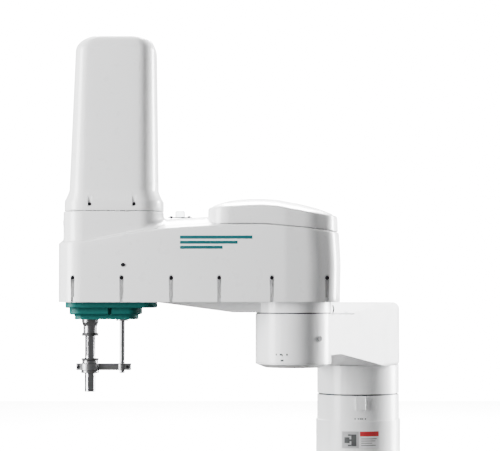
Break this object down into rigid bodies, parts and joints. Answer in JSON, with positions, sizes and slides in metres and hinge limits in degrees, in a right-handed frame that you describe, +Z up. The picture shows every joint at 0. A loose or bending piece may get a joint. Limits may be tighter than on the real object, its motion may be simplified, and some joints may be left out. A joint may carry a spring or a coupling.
{
  "type": "scara robot arm",
  "caption": "Four-axis SCARA robot arm: turned base column, two horizontal links, tall Z tower and a hollow spline shaft with a guide rod.",
  "frame": {"origin": "J1 axis at the base mounting face", "axes": "+Z up along the J1 axis, +X the front of the base, +Y the left of the base; link 1 is stored 20 degrees clockwise from +X and link 2 along -Y"},
  "size_m": [0.7407, 0.8556, 1.077],
  "materials": {
    "white_paint": "satin",
    "white_shell": "satin",
    "teal_paint": "satin",
    "shaft_chrome": "polished",
    "bright_steel": "turned",
    "dark_steel": "black oxide",
    "reducer_steel": "ground",
    "machined_aluminium": "machined",
    "clamp_aluminium": "machined",
    "motor_black": "matte",
    "black_rubber": "matte",
    "black_plastic": "matte",
    "label_film": "matte",
    "lamp_clear": "clear"
  },
  "bodies": {
    "base": {"base_casting": "white_paint", "base_rear_panel": "white_paint", "zero_tab": "white_paint", "label_plate": "label_film", "j1_gap_seal": "black_rubber", "rear_connectors": "black_plastic", "air_fittings": "bright_steel", "rear_panel_fasteners": "bright_steel", "j1_motor": "motor_black", "j1_reducer_rings": "reducer_steel"},
    "j1_rotor": {"j1_wave_generator": "reducer_steel"},
    "arm1": {"j1_output_hub": "reducer_steel", "arm1_casting": "white_paint", "arm1_top_cover": "white_paint", "arm1_screws": "dark_steel", "j2_bottom_cap": "white_paint", "j2_output_hub": "reducer_steel", "j2_stop_block": "black_rubber", "j2_grease_plug": "bright_steel"},
    "arm2": {"arm2_cover": "white_shell", "arm2_casting": "white_paint", "arm2_cover_screws": "dark_steel", "hood_cover": "white_shell", "tower_cover": "white_shell", "shaft_flange": "teal_paint", "shaft_flange_screws": "dark_steel", "spline_nut_bearing": "reducer_steel", "guide_bushing": "reducer_steel", "j2_motor": "motor_black", "j3_motor": "motor_black", "j4_motor": "motor_black", "z_drive_bracket": "machined_aluminium", "ball_screw_bearing": "reducer_steel", "j3_belt": "black_rubber", "j4_belt": "black_rubber", "j2_reducer_rings": "reducer_steel", "lamp_plate": "dark_steel", "lamp_lens": "lamp_clear", "side_plug": "dark_steel", "brake_switch": "black_plastic"},
    "j2_rotor": {"j2_wave_generator": "reducer_steel"},
    "j3_rotor": {"j3_motor_pulley": "machined_aluminium"},
    "lead_screw": {"ball_screw": "shaft_chrome", "ball_screw_pulley": "machined_aluminium"},
    "j4_rotor": {"j4_motor_pulley": "machined_aluminium"},
    "shaft_nut": {"spline_nut": "bright_steel", "nut_seal_ring": "black_rubber", "spline_nut_pulley": "machined_aluminium"},
    "lift": {"z_carriage": "machined_aluminium", "shaft_bearings": "reducer_steel", "ball_nut": "bright_steel", "guide_rod": "shaft_chrome", "clamp_arm": "clamp_aluminium", "clamp_screws": "dark_steel"},
    "quill": {"spline_shaft": "shaft_chrome", "lower_collar": "bright_steel", "shaft_collars": "bright_steel", "bumper_ring": "black_rubber"},
    "brake_key": {"brake_button": "black_plastic"}
  },
  "joints": [
    {"name": "j1_turn", "type": "hinge", "parent": "base", "child": "arm1", "pos_m": [0, 0, 0.215], "axis": [0, 0, 1], "range_deg": [-112, 152]},
    {"name": "j1_rotor_spin", "type": "hinge", "parent": "base", "child": "j1_rotor", "pos_m": [0, 0, 0.17], "axis": [0, 0, 1], "range_deg": [-12200, 9000]},
    {"name": "j2_turn", "type": "hinge", "parent": "arm1", "child": "arm2", "pos_m": [0.49334, -0.17956, 0.43], "axis": [0, 0, 1], "range_deg": [-75, 215]},
    {"name": "j2_rotor_spin", "type": "hinge", "parent": "arm2", "child": "j2_rotor", "pos_m": [0.49334, -0.17956, 0.45], "axis": [0, 0, 1], "range_deg": [-6100, 17300]},
    {"name": "j3_slide", "type": "slide", "parent": "arm2", "child": "lift", "axis": [0, 0, 1], "range_m": [-0.352, 0.048]},
    {"name": "lead_screw_spin", "type": "hinge", "parent": "arm2", "child": "lead_screw", "pos_m": [0.45334, -0.60956, 0.53], "axis": [0, 0, 1], "range_deg": [-6400, 900]},
    {"name": "j3_rotor_spin", "type": "hinge", "parent": "arm2", "child": "j3_rotor", "pos_m": [0.45134, -0.52956, 0.53], "axis": [0, 0, 1], "range_deg": [-9200, 1300]},
    {"name": "j4_turn", "type": "hinge", "parent": "lift", "child": "quill", "pos_m": [0.49334, -0.65456, 0.3], "axis": [0, 0, 1], "range_deg": [-360, 360]},
    {"name": "shaft_nut_spin", "type": "hinge", "parent": "arm2", "child": "shaft_nut", "pos_m": [0.49334, -0.65456, 0.45], "axis": [0, 0, 1], "range_deg": [-361, 361]},
    {"name": "j4_rotor_spin", "type": "hinge", "parent": "arm2", "child": "j4_rotor", "pos_m": [0.53934, -0.52956, 0.5], "axis": [0, 0, 1], "range_deg": [-730, 730]},
    {"name": "brake_button_press", "type": "slide", "parent": "arm2", "child": "brake_key", "axis": [0, 1, 0], "range_m": [0, 0.002], "stiffness_N_per_m": 800, "springref_m": -0.001}
  ],
  "couplings": [
    {"joint": "j1_rotor_spin", "follows": "j1_turn", "ratio": -80},
    {"joint": "j2_rotor_spin", "follows": "j2_turn", "ratio": 80},
    {"joint": "lead_screw_spin", "follows": "j3_slide", "rad_per_m": 314.16},
    {"joint": "j3_rotor_spin", "follows": "j3_slide", "rad_per_m": 447.84},
    {"joint": "shaft_nut_spin", "follows": "j4_turn", "ratio": 1},
    {"joint": "j4_rotor_spin", "follows": "j4_turn", "ratio": 1.9917}
  ]
}
